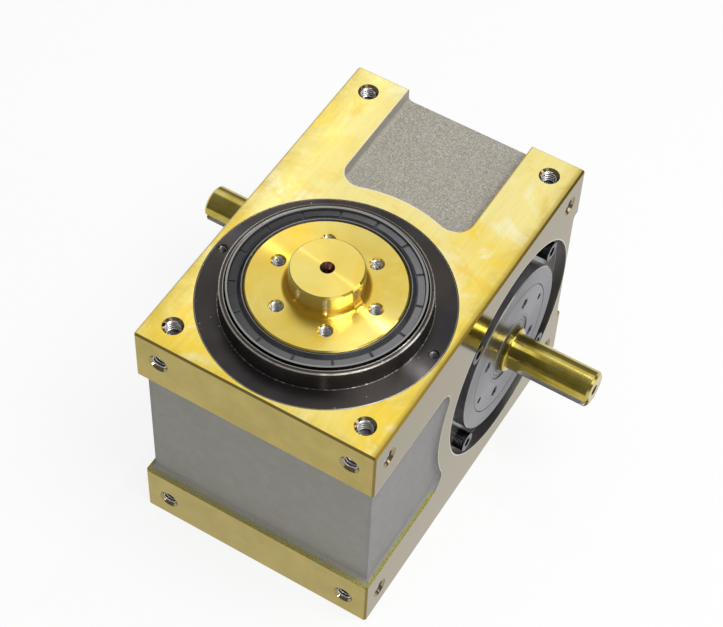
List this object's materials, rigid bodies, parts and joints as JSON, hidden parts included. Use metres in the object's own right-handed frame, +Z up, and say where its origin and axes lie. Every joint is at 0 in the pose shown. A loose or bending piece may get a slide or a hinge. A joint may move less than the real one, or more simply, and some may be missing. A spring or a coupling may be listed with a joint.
{
  "type": "cam indexing table",
  "caption": "Roller-gear cam indexer: boxed cast housing with tapped faces, a through input shaft and an upright output flange with a centre boss.",
  "frame": {"origin": "output axis at the base plane", "axes": "+Z up along the output axis, +X along the input shaft, +Y to the end that holds the cam"},
  "size_m": [0.188, 0.167, 0.1425],
  "materials": {
    "housing": "machined faces under a clear yellow rust-preventive film, cast pockets bare grey",
    "black_ring": "black oxide, oiled",
    "seal_rubber": "moulded black",
    "output_metal": "fine turned, yellow rust-preventive film",
    "shaft_metal": "ground, yellow rust-preventive film",
    "sleeve_steel": "ground grey face, black oxide sides",
    "ground_steel": "ground grey",
    "screw_steel": "black oxide",
    "bearing_steel": "ground and hardened",
    "cage_brass": "machined",
    "cam_steel": "ground flanks",
    "inner_steel": "turned",
    "plug_brass": "turned",
    "sight_glass": "clear"
  },
  "bodies": {
    "housing": {"housing": "housing", "output_retainer_ring": "black_ring", "output_oil_seal": "seal_rubber", "upper_bearing_outer_race": "bearing_steel", "lower_bearing_outer_race": "bearing_steel", "bottom_cover": "black_ring", "bottom_cover_screws": "screw_steel", "oil_filler_plug": "plug_brass", "oil_drain_plug": "plug_brass", "sight_glass_bezel": "plug_brass", "sight_glass_window": "sight_glass", "right_bearing_sleeve": "sleeve_steel", "right_sleeve_screws": "screw_steel", "right_adjusting_ring": "ground_steel", "right_input_seal": "seal_rubber", "right_bearing_outer_race": "bearing_steel", "left_bearing_sleeve": "sleeve_steel", "left_sleeve_screws": "screw_steel", "left_adjusting_ring": "ground_steel", "left_input_seal": "seal_rubber", "left_bearing_outer_race": "bearing_steel"},
    "input": {"input_shaft": "shaft_metal", "roller_gear_cam": "cam_steel", "cam_key": "inner_steel", "right_bearing_inner_race": "bearing_steel", "left_bearing_inner_race": "bearing_steel"},
    "output": {"output_turret": "output_metal", "follower_studs": "bearing_steel", "upper_bearing_inner_race": "bearing_steel", "lower_bearing_inner_race": "bearing_steel", "upper_locknut": "inner_steel", "lower_locknut": "inner_steel"},
    "upper_cage": {"upper_bearing_rollers": "bearing_steel", "upper_bearing_cage": "cage_brass"},
    "lower_cage": {"lower_bearing_rollers": "bearing_steel", "lower_bearing_cage": "cage_brass"},
    "right_cage": {"right_bearing_rollers": "bearing_steel", "right_bearing_cage": "cage_brass"},
    "left_cage": {"left_bearing_rollers": "bearing_steel", "left_bearing_cage": "cage_brass"},
    "follower_1": {"follower_roller_1": "bearing_steel"},
    "follower_2": {"follower_roller_2": "bearing_steel"},
    "follower_3": {"follower_roller_3": "bearing_steel"},
    "follower_4": {"follower_roller_4": "bearing_steel"},
    "follower_5": {"follower_roller_5": "bearing_steel"},
    "follower_6": {"follower_roller_6": "bearing_steel"},
    "follower_7": {"follower_roller_7": "bearing_steel"},
    "follower_8": {"follower_roller_8": "bearing_steel"}
  },
  "joints": [
    {"name": "input_spin", "type": "hinge", "parent": "housing", "child": "input", "pos_m": [0, 0.06, 0.061], "axis": [1, 0, 0], "continuous": true},
    {"name": "output_index", "type": "hinge", "parent": "housing", "child": "output", "pos_m": [0, 0, 0.061], "axis": [0, 0, 1], "continuous": true},
    {"name": "right_cage_spin", "type": "hinge", "parent": "housing", "child": "right_cage", "pos_m": [0.0375, 0.06, 0.061], "axis": [1, 0, 0], "continuous": true},
    {"name": "left_cage_spin", "type": "hinge", "parent": "housing", "child": "left_cage", "pos_m": [-0.0375, 0.06, 0.061], "axis": [1, 0, 0], "continuous": true},
    {"name": "upper_cage_spin", "type": "hinge", "parent": "housing", "child": "upper_cage", "pos_m": [0, 0, 0.106], "axis": [0, 0, 1], "continuous": true},
    {"name": "lower_cage_spin", "type": "hinge", "parent": "housing", "child": "lower_cage", "pos_m": [0, 0, 0.023], "axis": [0, 0, 1], "continuous": true},
    {"name": "follower_1_spin", "type": "hinge", "parent": "output", "child": "follower_1", "pos_m": [-0.01313, 0.03169, 0.061], "axis": [-0.3827, 0.9239, 0], "continuous": true},
    {"name": "follower_2_spin", "type": "hinge", "parent": "output", "child": "follower_2", "pos_m": [-0.03169, 0.01313, 0.061], "axis": [-0.9239, 0.3827, 0], "continuous": true},
    {"name": "follower_3_spin", "type": "hinge", "parent": "output", "child": "follower_3", "pos_m": [-0.03169, -0.01313, 0.061], "axis": [-0.9239, -0.3827, 0], "continuous": true},
    {"name": "follower_4_spin", "type": "hinge", "parent": "output", "child": "follower_4", "pos_m": [-0.01313, -0.03169, 0.061], "axis": [-0.3827, -0.9239, 0], "continuous": true},
    {"name": "follower_5_spin", "type": "hinge", "parent": "output", "child": "follower_5", "pos_m": [0.01313, -0.03169, 0.061], "axis": [0.3827, -0.9239, 0], "continuous": true},
    {"name": "follower_6_spin", "type": "hinge", "parent": "output", "child": "follower_6", "pos_m": [0.03169, -0.01313, 0.061], "axis": [0.9239, -0.3827, 0], "continuous": true},
    {"name": "follower_7_spin", "type": "hinge", "parent": "output", "child": "follower_7", "pos_m": [0.03169, 0.01313, 0.061], "axis": [0.9239, 0.3827, 0], "continuous": true},
    {"name": "follower_8_spin", "type": "hinge", "parent": "output", "child": "follower_8", "pos_m": [0.01313, 0.03169, 0.061], "axis": [0.3827, 0.9239, 0], "continuous": true}
  ],
  "couplings": [
    {"joint": "output_index", "follows": "input_spin", "ratio": 0.125},
    {"joint": "right_cage_spin", "follows": "input_spin", "ratio": 0.42444},
    {"joint": "left_cage_spin", "follows": "input_spin", "ratio": 0.42444},
    {"joint": "upper_cage_spin", "follows": "input_spin", "ratio": 0.05729},
    {"joint": "lower_cage_spin", "follows": "input_spin", "ratio": 0.05578}
  ]
}
